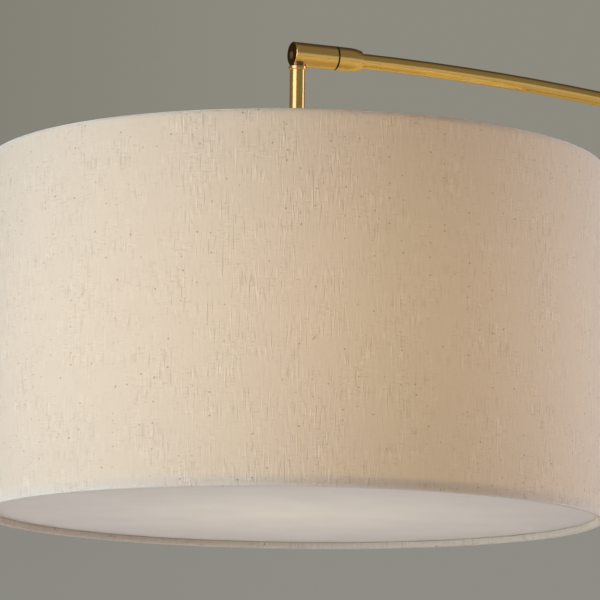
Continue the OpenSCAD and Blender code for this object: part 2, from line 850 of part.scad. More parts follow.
module bulb_cap() {
    color(steel) on_stem(holder_z - bulb_cap_end) difference() {
        union() {
            cylinder(d = bulb_cap_d, h = bulb_cap_l - cap_cone_h);
            translate([0, 0, bulb_cap_l - cap_cone_h])
                cylinder(d1 = bulb_cap_d, d2 = bulb_contact_d + 2, h = cap_cone_h);
        }
        translate([0, 0, -over])
            cylinder(d = bulb_cap_d - 2 * cap_wall, h = bulb_cap_l - cap_cone_h - cap_wall + over);
    }
}

// Outline of the glass below the cap: a neck that widens into the globe
module bulb_body(neck, globe, top) {
    shoulder_l = bulb_l - bulb_d / 2;
    translate([0, 0, -shoulder_l]) {
        sphere(r = globe);
        cylinder(r1 = globe_share * globe, r2 = neck, h = shoulder_l);
    }
    cylinder(r = neck, h = top);
}

module bulb_glass() {
    color(opal) on_stem(holder_z - bulb_cap_end) difference() {
        bulb_body(neck_r, bulb_d / 2, neck_in);
        bulb_body(neck_r - glass_t, bulb_d / 2 - glass_t, neck_in + over);
    }
}

// ---------- shade ----------

module wire_ring() {
    rotate_extrude($fn = 180) translate([ring_r, 0]) circle(d = wire_d, $fn = 32);
}

// Welded frame: the hub, the arms that rise to the rim and the top ring
module spider() {
    arm_start = hub_d / 2 - wire_d;
    run = ring_r - arm_start;
    rise = hub_drop - ring_in + hub_t / 2;
    color(steel) on_stem(hub_z) {
        translate([0, 0, -hub_t]) tube(hub_d, nipple_hole_d, hub_t);
        translate([0, 0, hub_drop - ring_in]) wire_ring();
        for (i = [0 : spider_arms - 1]) rotate([0, 0, i * 360 / spider_arms])
            translate([arm_start, 0, -hub_t / 2]) rotate([0, 90 - atan2(rise, run), 0])
                cylinder(d = wire_d, h = norm([run, rise]), $fn = 32);
    }
}

module shade_bottom_ring() {
    color(steel) on_stem(rim_z + ring_in) wire_ring();
}

module shade_liner() {
    edge_in = fabric_t + bond;
    color("white") on_stem(rim_z + edge_in) rotate_extrude($fn = 180)
        translate([liner_r - liner_t, 0]) square([liner_t, shade_h - 2 * edge_in]);
}

// Half section of a turned edge, with its round lip at y = 0
module hem_section() {
    w = shade_r - hem_r;
    translate([hem_r, hem_round]) square([w, hem_h - hem_round]);
    translate([hem_r + hem_round, 0]) square([w - 2 * hem_round, hem_round]);
    for (x = [hem_r + hem_round, shade_r - hem_round])
        translate([x, hem_round]) circle(r = hem_round, $fn = 48);
}

// What the turned edge holds: the wire, and the liner that runs on up between wire and linen
module hem_hollow() {
    r = hem_round - fabric_t;
    x = hem_r + fabric_t;
    w = shade_r - hem_r - 2 * fabric_t;
    translate([x, hem_round]) square([w, hem_h - fabric_t - hem_round]);
    translate([x + r, fabric_t]) square([w - 2 * r, hem_round]);
    for (c = [x + r, x + w - r]) translate([c, hem_round]) circle(r = r, $fn = 48);
    translate([liner_r - liner_t - bond, hem_round]) square([liner_t + 2 * bond, hem_h]);
    translate([liner_r - liner_t - bond, fabric_t]) square([liner_t + 2 * bond, hem_round]);
}

module shade_fabric() {
    color(linen) on_stem(rim_z) difference() {
        rotate_extrude($fn = 180) difference() {
            union() {
                translate([shade_r - fabric_t, hem_round]) square([fabric_t, shade_h - 2 * hem_round]);
                hem_section();
                translate([0, shade_h]) mirror([0, 1]) hem_section();
            }
            hem_hollow();
            translate([0, shade_h]) mirror([0, 1]) hem_hollow();
        }
        for (i = [0 : spider_arms - 1]) rotate([0, 0, i * 360 / spider_arms])
            translate([hem_r - over, -notch_w / 2, shade_h - hem_h - over])
                cube([ring_r - hem_r + over, notch_w, hem_h + over - fabric_t]);
    }
}

module diffuser() {
    color(opal) on_stem(rim_z + hem_h + face_gap) cylinder(r = diffuser_r, h = diffuser_t, $fn = 180);
}

// ---------- internal lead ----------

module lead_stand() {
    switch_bottom = housing_mid_z - switch_h / 2 - plug_gap;
    switch_top = housing_mid_z + switch_h / 2 + plug_gap;
    bend_top = outlet_z + lead_bend_r;
    mouth = pole_d / 2 + bushing_flange_t;
    color(plastic) {
        translate([0, 0, bend_top]) cylinder(d = lead_d, h = switch_bottom - bend_top);
        translate([lead_bend_r, 0, bend_top]) arc_sweep(lead_bend_r, 180, 270, lead_d);
        translate([lead_bend_r, 0, outlet_z]) rotate([0, 90, 0])
            cylinder(d = lead_d, h = mouth - lead_bend_r);
        translate([0, 0, switch_top]) cylinder(d = lead_d, h = tail_end_z - face_gap / 2 - switch_top);
    }
}

// Its five runs differ by a hair in diameter and reach over each other
module lead_arm() {
    start = collar_start - seam_gap / 2 + face_gap / 2;
    low = tail_end_z + face_gap / 2;
    extra = arc_angle(lead_weld, arm_mid_r);
    thick = lead_d + 2 * lead_step;
    color(plastic) {
        on_elbow(start) cylinder(d = thick, h = collar_end + lead_weld - start);
        front_arc(0, arm_front_angle, lead_d);
        mid_arc(arm_front_angle - extra, arm_mid_angle + extra, thick);
        bend_arc(arm_mid_angle, 90, lead_d);
        translate([0, 0, low]) cylinder(d = thick, h = bend_z + lead_weld - low);
    }
}

module lead_head() {
    end = collar_start - seam_gap / 2 - face_gap / 2;
    bend_low = elbow_z - lead_bend_r;
    bottom = holder_z - insulator_top + plug_gap;
    color(plastic) {
        on_elbow(lead_bend_r) cylinder(d = lead_d, h = end - lead_bend_r);
        translate([lead_bend_r - reach, 0, bend_low]) arc_sweep(lead_bend_r, 90, 180, lead_d);
        on_stem(bottom) cylinder(d = lead_d, h = bend_low - bottom);
    }
}

base_felt();
base_weight();
base_cover();
base_washer();
base_bolt();
pole_foot_plug();
foot_collar();
pole_lower();
cord_bushing();
pole_coupler();
pole_middle();
switch_cap_lower();
switch_housing();
switch_cap_upper();
switch_body();
switch_nut();
switch_shaft();
switch_knob();
pole_upper();
arm_socket();
clamp_screw();
lead_stand();
arm_rear();
arm_coupler_rear();
arm_middle();
arm_coupler_front();
arm_front();
arm_collar();
swivel_spindle();
friction_washer();
spring_washer();
swivel_nut();
lead_arm();
elbow_barrel();
elbow_cap();
elbow_nipple();
stem_ring();
stem();
socket_nipple();
spider();
spider_nut();
socket_cap();
socket_shell();
socket_insulator();
socket_screw_shell();
socket_contact();
bulb_glass();
bulb_cap();
bulb_contact();
shade_liner();
shade_fabric();
shade_bottom_ring();
lead_head();
diffuser();
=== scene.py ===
# Arc floor lamp with a linen drum shade, dressed on its CAD frame.
# Metres, +Z up, the pole on the Z axis, the arm and the shade towards -X.
import math

import bmesh
import bpy
from mathutils import Matrix, Vector, noise


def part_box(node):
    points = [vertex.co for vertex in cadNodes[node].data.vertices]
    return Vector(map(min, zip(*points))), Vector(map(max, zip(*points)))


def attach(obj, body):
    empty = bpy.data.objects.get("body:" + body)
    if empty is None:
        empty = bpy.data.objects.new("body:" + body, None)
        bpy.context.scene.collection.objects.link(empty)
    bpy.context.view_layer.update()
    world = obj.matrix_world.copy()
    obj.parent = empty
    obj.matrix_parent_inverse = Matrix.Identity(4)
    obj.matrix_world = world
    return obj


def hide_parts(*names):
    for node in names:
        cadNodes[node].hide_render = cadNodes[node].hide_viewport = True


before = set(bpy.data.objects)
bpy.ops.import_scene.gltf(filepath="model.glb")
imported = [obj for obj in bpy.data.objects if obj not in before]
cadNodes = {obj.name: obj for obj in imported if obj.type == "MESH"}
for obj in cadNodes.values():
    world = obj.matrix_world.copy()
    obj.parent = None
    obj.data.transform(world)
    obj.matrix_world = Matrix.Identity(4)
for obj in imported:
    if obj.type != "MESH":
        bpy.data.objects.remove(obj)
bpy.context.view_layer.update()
print("frame loaded:", len(cadNodes), "nodes")


# Where things are, all from the frame
stemLow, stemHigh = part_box("stem")
axisX = (stemLow.x + stemHigh.x) / 2  # the shade hangs on this vertical axis
clothLow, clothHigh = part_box("shade_fabric")
rimZ, rimTopZ = clothLow.z, clothHigh.z
shadeRadius = (clothHigh.y - clothLow.y) / 2
shadeHeight = rimTopZ - rimZ
feltLow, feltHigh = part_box("base_felt")


# Camera, floor and light

view = {
    "side": 24,  # degrees from -Y towards -X, where the camera stands
    "sensor": 36,  # mm
    "lens": 241.8,  # mm, a long lens
    "heading": -24.08,  # degrees from +Y
    "tilt": 8.875,  # degrees up
    "roll": 0.757,
    "distance": 3.2643,  # from the shade's axis
    "belowRim": 0.3286,
}


def placeCamera():
    data = bpy.data.cameras.new("camera")
    data.sensor_width = view["sensor"]
    data.lens = view["lens"]
    data.clip_start, data.clip_end = 0.05, 200
    camera = bpy.data.objects.new("camera", data)
    bpy.context.scene.collection.objects.link(camera)
    side = math.radians(view["side"])
    place = Vector((
        axisX - view["distance"] * math.sin(side),
        -view["distance"] * math.cos(side),
        rimZ - view["belowRim"],
    ))
    turn = (
        Matrix.Rotation(math.radians(view["heading"]), 4, "Z")
        @ Matrix.Rotation(math.radians(90 + view["tilt"]), 4, "X")
        @ Matrix.Rotation(math.radians(view["roll"]), 4, "Z")
    )
    camera.matrix_world = Matrix.Translation(place) @ turn
    bpy.context.scene.camera = camera


def addNode(tree, kind, inputs=None, **settings):
    made = tree.nodes.new("ShaderNode" + kind)
    for name, value in settings.items():
        setattr(made, name, value)
    for socket, value in (inputs or {}).items():
        if isinstance(value, bpy.types.NodeSocket):
            tree.links.new(value, made.inputs[socket])
        else:
            made.inputs[socket].default_value = value
    return made


def rgba(color, factor=1.0):
    return (color[0] * factor, color[1] * factor, color[2] * factor, 1)


def calc(tree, operation, first, second=0.0, clamp=False):
    made = addNode(tree, "Math", {0: first, 1: second}, operation=operation, use_clamp=clamp)
    return made.outputs[0]


def ramp(tree, value, low, high, out=(0.0, 1.0)):
    made = addNode(tree, "MapRange", {
        "Value": value, "From Min": low, "From Max": high, "To Min": out[0], "To Max": out[1],
    }, interpolation_type="SMOOTHSTEP")
    return made.outputs["Result"]


def tint(tree, share, first, second, blend="MIX"):
    made = addNode(tree, "Mix", {0: share, 6: first, 7: second}, data_type="RGBA", blend_type=blend)
    return made.outputs[2]


studio = {
    "horizon": (0.78, 0.80, 0.84),
    "backdropLow": (0.272, 0.266, 0.236),
    "backdrop": (0.268, 0.256, 0.215),  # warm grey
    "leftShade": 0.86,  # the wall is a little darker on the left
    "ceiling": (0.27, 0.25, 0.27),
    "darkCorner": (0.09, 0.085, 0.09),  # high up behind the shade
    "fill": (0.186, 0.118, 0.075),  # light from all round
    "away": (0.41, 0.91, 0),  # the way the camera looks
    "right": (0.91, -0.41, 0),
    "floorHalf": 45,  # metres from its middle to its edge
    "floor": (0.80, 0.76, 0.71),
    "floorNear": (0.62, 0.56, 0.42),
    "floorFar": (0.70, 0.72, 0.84),
}


def along(tree, direction, axis):
    made = addNode(tree, "VectorMath", {0: direction, 1: axis}, operation="DOT_PRODUCT")
    return made.outputs["Value"]


def makeWorld():
    world = bpy.data.worlds.new("studio")
    bpy.context.scene.world = world
    world.use_nodes = True
    tree = world.node_tree
    tree.nodes.clear()
    direction = addNode(tree, "TexCoord").outputs["Generated"]
    height = addNode(tree, "SeparateXYZ", {0: direction}).outputs["Z"]
    behind = along(tree, direction, studio["away"])
    low, mid = rgba(studio["backdropLow"]), rgba(studio["backdrop"])
    path = addNode(tree, "LightPath").outputs
    aboveHorizon = calc(tree, "MAXIMUM", ramp(tree, height, 0.01, 0.085), path["Is Camera Ray"])
    wall = tint(tree, aboveHorizon, rgba(studio["horizon"]), low)
    wall = tint(tree, ramp(tree, height, 0.08, 0.20), wall, mid)
    sideways = along(tree, direction, studio["right"])
    left = ramp(tree, sideways, -0.09, 0.0, (1.0, 0.0))
    left = calc(tree, "MULTIPLY", left, ramp(tree, height, 0.08, 0.14, (0.3, 1.0)))
    wall = tint(tree, left, wall, rgba([studio["leftShade"]] * 3), "MULTIPLY")
    wall = tint(tree, ramp(tree, height, 0.35, 0.95), wall, rgba(studio["ceiling"]))
    corner = calc(tree, "MULTIPLY", ramp(tree, height, 0.3, 0.7), ramp(tree, behind, -0.15, 0.3))
    wall = tint(tree, corner, wall, rgba(studio["darkCorner"]))
    wallLight = addNode(tree, "Background", {"Color": wall, "Strength": 1.0})
    fillLight = addNode(tree, "Background", {"Color": rgba(studio["fill"]), "Strength": 1.0})
    seen = calc(tree, "MAXIMUM", path["Is Camera Ray"], path["Is Glossy Ray"])
    seen = calc(tree, "MAXIMUM", seen, path["Is Transmission Ray"])
    mixed = addNode(tree, "MixShader", {0: seen, 1: fillLight.outputs[0], 2: wallLight.outputs[0]})
    out = addNode(tree, "OutputWorld")
    tree.links.new(mixed.outputs[0], out.inputs["Surface"])


# Softboxes: direction in degrees round the shade from the camera's side, distance, height,
# width and height of the box, power and colour
softboxes = {
    "leftWindow": dict(
        side=-62, away=2.6, z=1.6, size=(3.1, 3.0), power=95, color=(0.684, 0.839, 1.0),
    ),
    "rightWindow": dict(
        side=110, away=3.4, z=2.08, size=(1.45, 2.04), power=108, color=(0.717, 0.799, 1.0),
    ),
    "backFill": dict(
        side=180, away=3.0, z=1.6, size=(2.4, 2.4), power=30, color=(1.0, 0.96, 0.90),
    ),
}


def lightOnly(lamp, pieces):
    receivers = bpy.data.collections.new(lamp.name + "Pieces")
    for piece in pieces:
        receivers.objects.link(piece)
    lamp.light_linking.receiver_collection = receivers


# A box made for certain pieces is there to be mirrored in them, and the others never are
def addSoftbox(name, side, away, z, size, power, color, pieces=None):
    data = bpy.data.lights.new(name, "AREA")
    data.shape = "RECTANGLE"
    data.size, data.size_y = size
    data.energy = power
    data.color = color
    lamp = bpy.data.objects.new(name, data)
    lamp.visible_camera = False
    lamp.visible_glossy = pieces is not None
    bpy.context.scene.collection.objects.link(lamp)
    angle = math.radians(side - view["side"])
    place = Vector((axisX + away * math.sin(angle), -away * math.cos(angle), z))
    aim = Vector((axisX, 0, z)) - place
    lamp.matrix_world = Matrix.Translation(place) @ aim.to_track_quat("-Z", "Y").to_matrix().to_4x4()
    if pieces:
        lightOnly(lamp, pieces)


def addFloor():
    mesh = bmesh.new()
    bmesh.ops.create_grid(mesh, x_segments=8, y_segments=8, size=studio["floorHalf"])
    data = bpy.data.meshes.new("floor")
    mesh.to_mesh(data)
    mesh.free()
    floor = bpy.data.objects.new("floor", data)
    bpy.context.scene.collection.objects.link(floor)
    material = bpy.data.materials.new("floorPaint")
    material.use_nodes = True
    tree = material.node_tree
    shader = tree.nodes["Principled BSDF"]
    shader.inputs["Roughness"].default_value = 0.85
    place = addNode(tree, "TexCoord").outputs["Object"]
    cloud = addNode(tree, "TexNoise", {"Vector": place, "Scale": 1.4, "Detail": 3.0}).outputs["Fac"]
    paint = tint(tree, ramp(tree, cloud, 0.35, 0.65), rgba(studio["floor"], 0.97), rgba(studio["floor"]))
    tree.links.new(paint, shader.inputs["Base Color"])
    # far off, where the lamps don't reach, the camera and the metal see an evenly lit floor
    where = addNode(tree, "SeparateXYZ", {0: place}).outputs
    reach = addNode(tree, "VectorMath", {0: place}, operation="LENGTH").outputs["Value"]
    lit = tint(tree, ramp(tree, reach, 1.0, 11.0), rgba(studio["floorNear"]), rgba(studio["floorFar"]))
    lit = tint(tree, ramp(tree, where["Y"], 0.0, 5.0, (0.0, 0.4)), lit, rgba(studio["backdrop"]))
    path = addNode(tree, "LightPath").outputs
    faded = calc(tree, "MULTIPLY", ramp(tree, reach, 2.5, 12.0), path["Is Camera Ray"])
    lit = tint(tree, faded, lit, rgba(studio["backdropLow"]))
    even = addNode(tree, "Emission", {"Color": lit, "Strength": 1.0})
    mirrored = calc(tree, "MAXIMUM", path["Is Glossy Ray"], path["Is Transmission Ray"])
    fromCamera = calc(tree, "MULTIPLY", path["Is Camera Ray"], ramp(tree, reach, 1.5, 5.0, (0.55, 1.0)))
    share = calc(tree, "MAXIMUM", fromCamera, mirrored)
    both = addNode(tree, "MixShader", {0: share, 1: shader.outputs[0], 2: even.outputs[0]})
    tree.links.new(both.outputs[0], tree.nodes["Material Output"].inputs["Surface"])
    data.materials.append(material)


placeCamera()
makeWorld()
for boxName, boxFacts in softboxes.items():
    addSoftbox(boxName, **boxFacts)
addFloor()
print("camera, light and floor placed")


# Finishes

def newFinish(name, **sockets):
    material = bpy.data.materials.new(name)
    material.use_nodes = True
    tree = material.node_tree
    shader = tree.nodes["Principled BSDF"]
    for socket, value in sockets.items():
        shader.inputs[socket].default_value = value
    return material, tree, shader


def stretchedNoise(tree, place, scale, size, detail=2.0):
    spread = addNode(tree, "Mapping", {"Vector": place, "Scale": scale}).outputs[0]
    return addNode(tree, "TexNoise", {"Vector": spread, "Scale": size, "Detail": detail}).outputs["Fac"]


def placeParts(tree):
    place = addNode(tree, "TexCoord").outputs["Object"]
    return addNode(tree, "SeparateXYZ", {0: place}).outputs


def distanceFrom(tree, across, up, centre):
    offset = addNode(tree, "CombineXYZ", {
        "X": calc(tree, "SUBTRACT", across, centre[0]), "Y": calc(tree, "SUBTRACT", up, centre[1]),
    }).outputs[0]
    return addNode(tree, "VectorMath", {0: offset}, operation="LENGTH").outputs["Value"]


# Brushed and lacquered metal: the grain runs along one axis, and wear dulls it in soft patches.
# Without a grain the marks run round the pole, as on a spun disc
def metalFinish(name, color, roughness, grain, grainDepth=0.04, patch=0.04, lacquer=0.0):
    material, tree, shader = newFinish(name, Metallic=1.0)
    shader.inputs["Coat Weight"].default_value = lacquer
    shader.inputs["Coat Roughness"].default_value = 0.12
    shader.inputs["Specular Tint"].default_value = (0.75, 0.62, 0.45, 1)
    place = addNode(tree, "TexCoord").outputs["Object"]
    if grain is None:
        part = placeParts(tree)
        turn = calc(tree, "ARCTAN2", part["Y"], part["X"])
        out = distanceFrom(tree, part["X"], part["Y"], (0.0, 0.0))
        turn = calc(tree, "MULTIPLY", turn, 0.0012)
        rings = addNode(tree, "CombineXYZ", {"X": out, "Y": turn, "Z": part["Z"]})
        streak = stretchedNoise(tree, rings.outputs[0], (1.0, 1.0, 0.5), 1500.0)
    else:
        streak = stretchedNoise(tree, place, grain, 2400.0)
    cloud = addNode(tree, "TexNoise", {"Vector": place, "Scale": 26.0, "Detail": 4.0}).outputs["Fac"]
    shade = tint(tree, ramp(tree, cloud, 0.30, 0.70), rgba(color, 1 - patch), rgba(color, 1 + patch))
    shade = tint(tree, ramp(tree, streak, 0.25, 0.75), shade, rgba(color, 1.03))
    tree.links.new(shade, shader.inputs["Base Color"])
    rough = calc(tree, "MULTIPLY_ADD", streak, grainDepth)
    rough.node.inputs[2].default_value = roughness - grainDepth / 2
    tree.links.new(rough, shader.inputs["Roughness"])
    bump = addNode(tree, "Bump", {"Strength": 0.25, "Distance": 0.000012, "Height": streak})
    tree.links.new(bump.outputs[0], shader.inputs["Normal"])
    return material


# Moulded, painted or glazed parts: fine grain or orange peel
def coatedFinish(name, color, roughness, grainSize=700.0, grainDepth=0.00003, **sockets):
    material, tree, shader = newFinish(name, Roughness=roughness, **sockets)
    place = addNode(tree, "TexCoord").outputs["Object"]
    grain = addNode(tree, "TexNoise", {"Vector": place, "Scale": grainSize, "Detail": 3.0}).outputs["Fac"]
    cloud = addNode(tree, "TexNoise", {"Vector": place, "Scale": 18.0, "Detail": 3.0}).outputs["Fac"]
    shade = tint(tree, ramp(tree, cloud, 0.30, 0.70), rgba(color, 0.96), rgba(color, 1.03))
    tree.links.new(shade, shader.inputs["Base Color"])
    bump = addNode(tree, "Bump", {"Strength": 0.4, "Distance": grainDepth, "Height": grain})
    tree.links.new(bump.outputs[0], shader.inputs["Normal"])
    return material


brassColor = (0.70, 0.45, 0.125)
alongX = (0.04, 1.0, 1.0)
alongZ = (1.0, 1.0, 0.04)

finishes = {
    "barBrass": metalFinish("barBrass", brassColor, 0.23, alongX, lacquer=0.25),
    "tubeBrass": metalFinish("tubeBrass", brassColor, 0.22, alongZ, lacquer=0.25),
    "spunBrass": metalFinish("spunBrass", brassColor, 0.27, None, 0.10, lacquer=0.25),
    "darkBrass": metalFinish("darkBrass", (0.085, 0.045, 0.015), 0.32, (1.0, 1.0, 1.0), 0.10, 0.20),
    "elbowBrass": metalFinish("elbowBrass", brassColor, 0.23, alongX, lacquer=0.25),
    "collarBrass": metalFinish("collarBrass", brassColor, 0.23, alongX, lacquer=0.25),
    # the elbow's end cap: its near-black brown is a painted dark reflection
    "agedCap": metalFinish("agedCap", (0.075, 0.040, 0.012), 0.30, (1.0, 1.0, 1.0), 0.10, 0.20),
    "stampedBrass": metalFinish("stampedBrass", (0.70, 0.52, 0.24), 0.33, alongZ),
    "steel": metalFinish("steel", (0.55, 0.55, 0.56), 0.32, alongX, 0.10),
    "capMetal": metalFinish("capMetal", (0.74, 0.74, 0.75), 0.25, alongZ),
    "castIron": metalFinish("castIron", (0.20, 0.20, 0.21), 0.60, (1.0, 1.0, 1.0), 0.2, 0.2),
    "whiteEnamel": coatedFinish("whiteEnamel", (0.78, 0.77, 0.74), 0.38, 300.0),
    "moulding": coatedFinish("moulding", (0.022, 0.022, 0.023), 0.52),
    "leadSheath": coatedFinish("leadSheath", (0.05, 0.05, 0.05), 0.45),
    "porcelain": coatedFinish("porcelain", (0.74, 0.71, 0.64), 0.22, 200.0),
    "opalGlass": coatedFinish("opalGlass", (0.86, 0.85, 0.81), 0.12, 60.0, 0.00001),
    "linerSheet": coatedFinish("linerSheet", (0.80, 0.78, 0.73), 0.55, 120.0),
    "opalSheet": coatedFinish("opalSheet", (0.765, 0.705, 0.69), 0.45, 90.0, 0.00001),
}

finishOf = {
    "spunBrass": "base_cover foot_collar",
    "tubeBrass": "pole_lower pole_middle pole_upper pole_coupler switch_cap_lower switch_housing "
    "switch_cap_upper switch_nut arm_socket stem stem_ring arm_rear spider_nut socket_cap",
    "barBrass": "clamp_screw arm_coupler_rear arm_middle arm_coupler_front arm_front",
    "elbowBrass": "elbow_barrel",
    "collarBrass": "arm_collar",
    "agedCap": "elbow_cap",
    "darkBrass": "switch_knob",
    "stampedBrass": "socket_shell socket_screw_shell socket_contact",
    "steel": "base_washer base_bolt pole_foot_plug switch_shaft swivel_spindle spring_washer swivel_nut "
    "elbow_nipple socket_nipple bulb_contact",
    "capMetal": "bulb_cap",
    "castIron": "base_weight",
    "whiteEnamel": "spider shade_bottom_ring",
    "moulding": "cord_bushing switch_body friction_washer",
    "leadSheath": "lead_stand lead_arm lead_head",
    "porcelain": "socket_insulator",
    "opalGlass": "bulb_glass",
    "linerSheet": "shade_liner",
    "opalSheet": "diffuser",
}


# Painted shade and painted reflection: where the mask is 1, the base colour turns to this one
def paintShading(material, mask, color):
    tree = material.node_tree
    shader = tree.nodes["Principled BSDF"]
    clean = shader.inputs["Base Color"].links[0].from_socket
    tree.links.new(tint(tree, mask, clean, rgba(color)), shader.inputs["Base Color"])


barrelLow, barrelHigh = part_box("elbow_barrel")
capLow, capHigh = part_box("elbow_cap")
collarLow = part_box("arm_collar")[0]
barrelZ = (capLow.z + capHigh.z) / 2

# Painted light on the elbow: painted shade in the seams, a painted dark reflection on the barrel's flat end,
# painted shade on the boss and a painted reflection in the middle of the cap
elbowShading = {
    "paintedShade": (0.045, 0.024, 0.014),
    "boss": (0.27, 0.125, 0.045),  # painted shade and dark reflection, reddish, under the barrel
    "bossRadius": 0.007,
    "bossDrop": 0.0070,  # from the barrel's axis down to where the boss starts
    "skin": 0.00012,  # how near a point has to be to count as on a face
    "capReflection": (0.62, 0.40, 0.30),
    "capSpot": 0.0042,
    "capBlur": 0.004,
}


def paintBarrelShade():
    material = finishes["elbowBrass"]
    tree = material.node_tree
    part = placeParts(tree)
    # painted dark reflection on the flat end round the cap
    end = calc(tree, "LESS_THAN", part["X"], barrelLow.x + elbowShading["skin"])
    # painted shade in the seam towards the collar
    seam = ramp(tree, part["X"], barrelHigh.x - 0.0005, barrelHigh.x - 0.0001)
    paintShading(material, calc(tree, "MAXIMUM", end, seam), elbowShading["paintedShade"])
    # painted shade on the boss the stem screws into
    out = distanceFrom(tree, part["X"], part["Y"], (axisX, 0.0))
    off = calc(tree, "ABSOLUTE", calc(tree, "SUBTRACT", out, elbowShading["bossRadius"]))
    onBoss = calc(tree, "LESS_THAN", off, elbowShading["skin"])
    under = calc(tree, "LESS_THAN", part["Z"], barrelZ - elbowShading["bossDrop"])
    paintShading(material, calc(tree, "MULTIPLY", onBoss, under), elbowShading["boss"])


def paintCollarShade():
    material = finishes["collarBrass"]
    tree = material.node_tree
    part = placeParts(tree)
    # painted shade in the seam towards the barrel
    paintShading(material, ramp(tree, part["X"], collarLow.x + 0.0009, collarLow.x + 0.0003), elbowShading["paintedShade"])


# Painted reflection: the cap is painted a little lighter in the middle
def paintCapReflection():
    material = finishes["agedCap"]
    tree = material.node_tree
    part = placeParts(tree)
    out = distanceFrom(tree, part["Y"], part["Z"], (0.0012, barrelZ - 0.0008))
    place = addNode(tree, "TexCoord").outputs["Object"]
    cloud = addNode(tree, "TexNoise", {"Vector": place, "Scale": 700.0, "Detail": 2.0}).outputs["Fac"]
    stray = calc(tree, "MULTIPLY", calc(tree, "SUBTRACT", cloud, 0.5), elbowShading["capBlur"])
    edge = calc(tree, "ADD", out, stray)
    paintedReflection = ramp(tree, edge, elbowShading["capSpot"], elbowShading["capSpot"] * 0.35, (0.0, 0.75))
    paintShading(material, paintedReflection, elbowShading["capReflection"])


paintBarrelShade()
paintCollarShade()
paintCapReflection()


def dressNode(name, material):
    slots = cadNodes[name].data.materials
    if len(slots) == 0:
        slots.append(material)
    for i in range(len(slots)):
        slots[i] = material


# Lets light through: the share is a number or a mask
def makeTranslucent(material, color, share):
    tree = material.node_tree
    through = addNode(tree, "BsdfTranslucent", {"Color": rgba(color)})
    both = addNode(tree, "MixShader", {
        0: share, 1: tree.nodes["Principled BSDF"].outputs[0], 2: through.outputs[0],
    })
    tree.links.new(both.outputs[0], tree.nodes["Material Output"].inputs["Surface"])


makeTranslucent(finishes["opalSheet"], (0.86, 0.84, 0.80), 0.2)  # the diffuser

for finishName, nodeNames in finishOf.items():
    for nodeName in nodeNames.split():
        dressNode(nodeName, finishes[finishName])
print("finishes made:", len(finishes))

# Boxes of light that only the brass sees
strips = {
    "leftStrip": dict(
        side=-42, away=3.6, z=2.33, size=(3.4, 3.05), power=92, color=(0.60, 0.64, 1.0),
    ),
    "rightStrip": dict(
        side=104, away=4.2, z=2.36, size=(2.17, 3.19), power=63, color=(0.52, 0.58, 1.0),
    ),
}
brassPieces = [
    cadNodes[name]
    for kind, names in finishOf.items()
    if "Brass" in kind or kind == "agedCap"
    for name in names.split()
]
for stripName, stripFacts in strips.items():
    addSoftbox(stripName, pieces=brassPieces, **stripFacts)


# Linen of the shade

linen = {
    "slub": (0.82, 0.735, 0.62),
    "shadow": (0.66, 0.555, 0.43),
    "fleck": (0.20, 0.12, 0.07),
    "fleckDepth": 0.75,
    "fleckCell": 88.0,  # at most one fleck in a cell, cells to a metre
    "fleckShare": 0.70,  # the share of cells left bare
    "threadPitch": 0.0007,
    "relief": 0.00022,
    "evenTone": 0.25,
    "hemBand": 0.009,  # height over which the turned edge shows through
    "glow": (0.90, 0.82, 0.64),  # light that comes through the cloth
    "glowShare": 0.30,
}

# Uneven yarn: fine streaks everywhere, and thick (slub) or thin (shade) places here and there.
# Size round the shade and up it, the span of the noise that shows, its offset and detail,
# and how much it adds to the relief and to the tone
yarns = {
    "warpYarn": dict(size=(0.0022, 0.013), span=(0.0, 1.0), offset=0.0, detail=1.0, relief=0.6, tone=0.36),
    "weftYarn": dict(size=(0.014, 0.0016), span=(0.0, 1.0), offset=5.9, detail=1.0, relief=0.15, tone=0.14),
    "warpSlub": dict(size=(0.0019, 0.015), span=(0.60, 0.76), offset=2.7, relief=0.6, tone=0.34),
    "weftSlub": dict(size=(0.006, 0.0016), span=(0.63, 0.76), offset=3.1, relief=0.12, tone=0.24),
    "warpShade": dict(size=(0.0019, 0.014), span=(0.60, 0.76), offset=7.3, relief=-0.5, tone=-0.38),
    "weftShade": dict(size=(0.005, 0.0017), span=(0.63, 0.76), offset=11.7, relief=-0.15, tone=-0.42),
}


def yarnStreaks(tree, place, size, span, offset, detail):
    spread = addNode(tree, "Mapping", {
        "Vector": place, "Location": (offset, offset, 0), "Scale": (1 / size[0], 1 / size[1], 1),
    }).outputs[0]
    fac = addNode(tree, "TexNoise", {"Vector": spread, "Scale": 1.0, "Detail": detail}).outputs["Fac"]
    return ramp(tree, fac, *span)


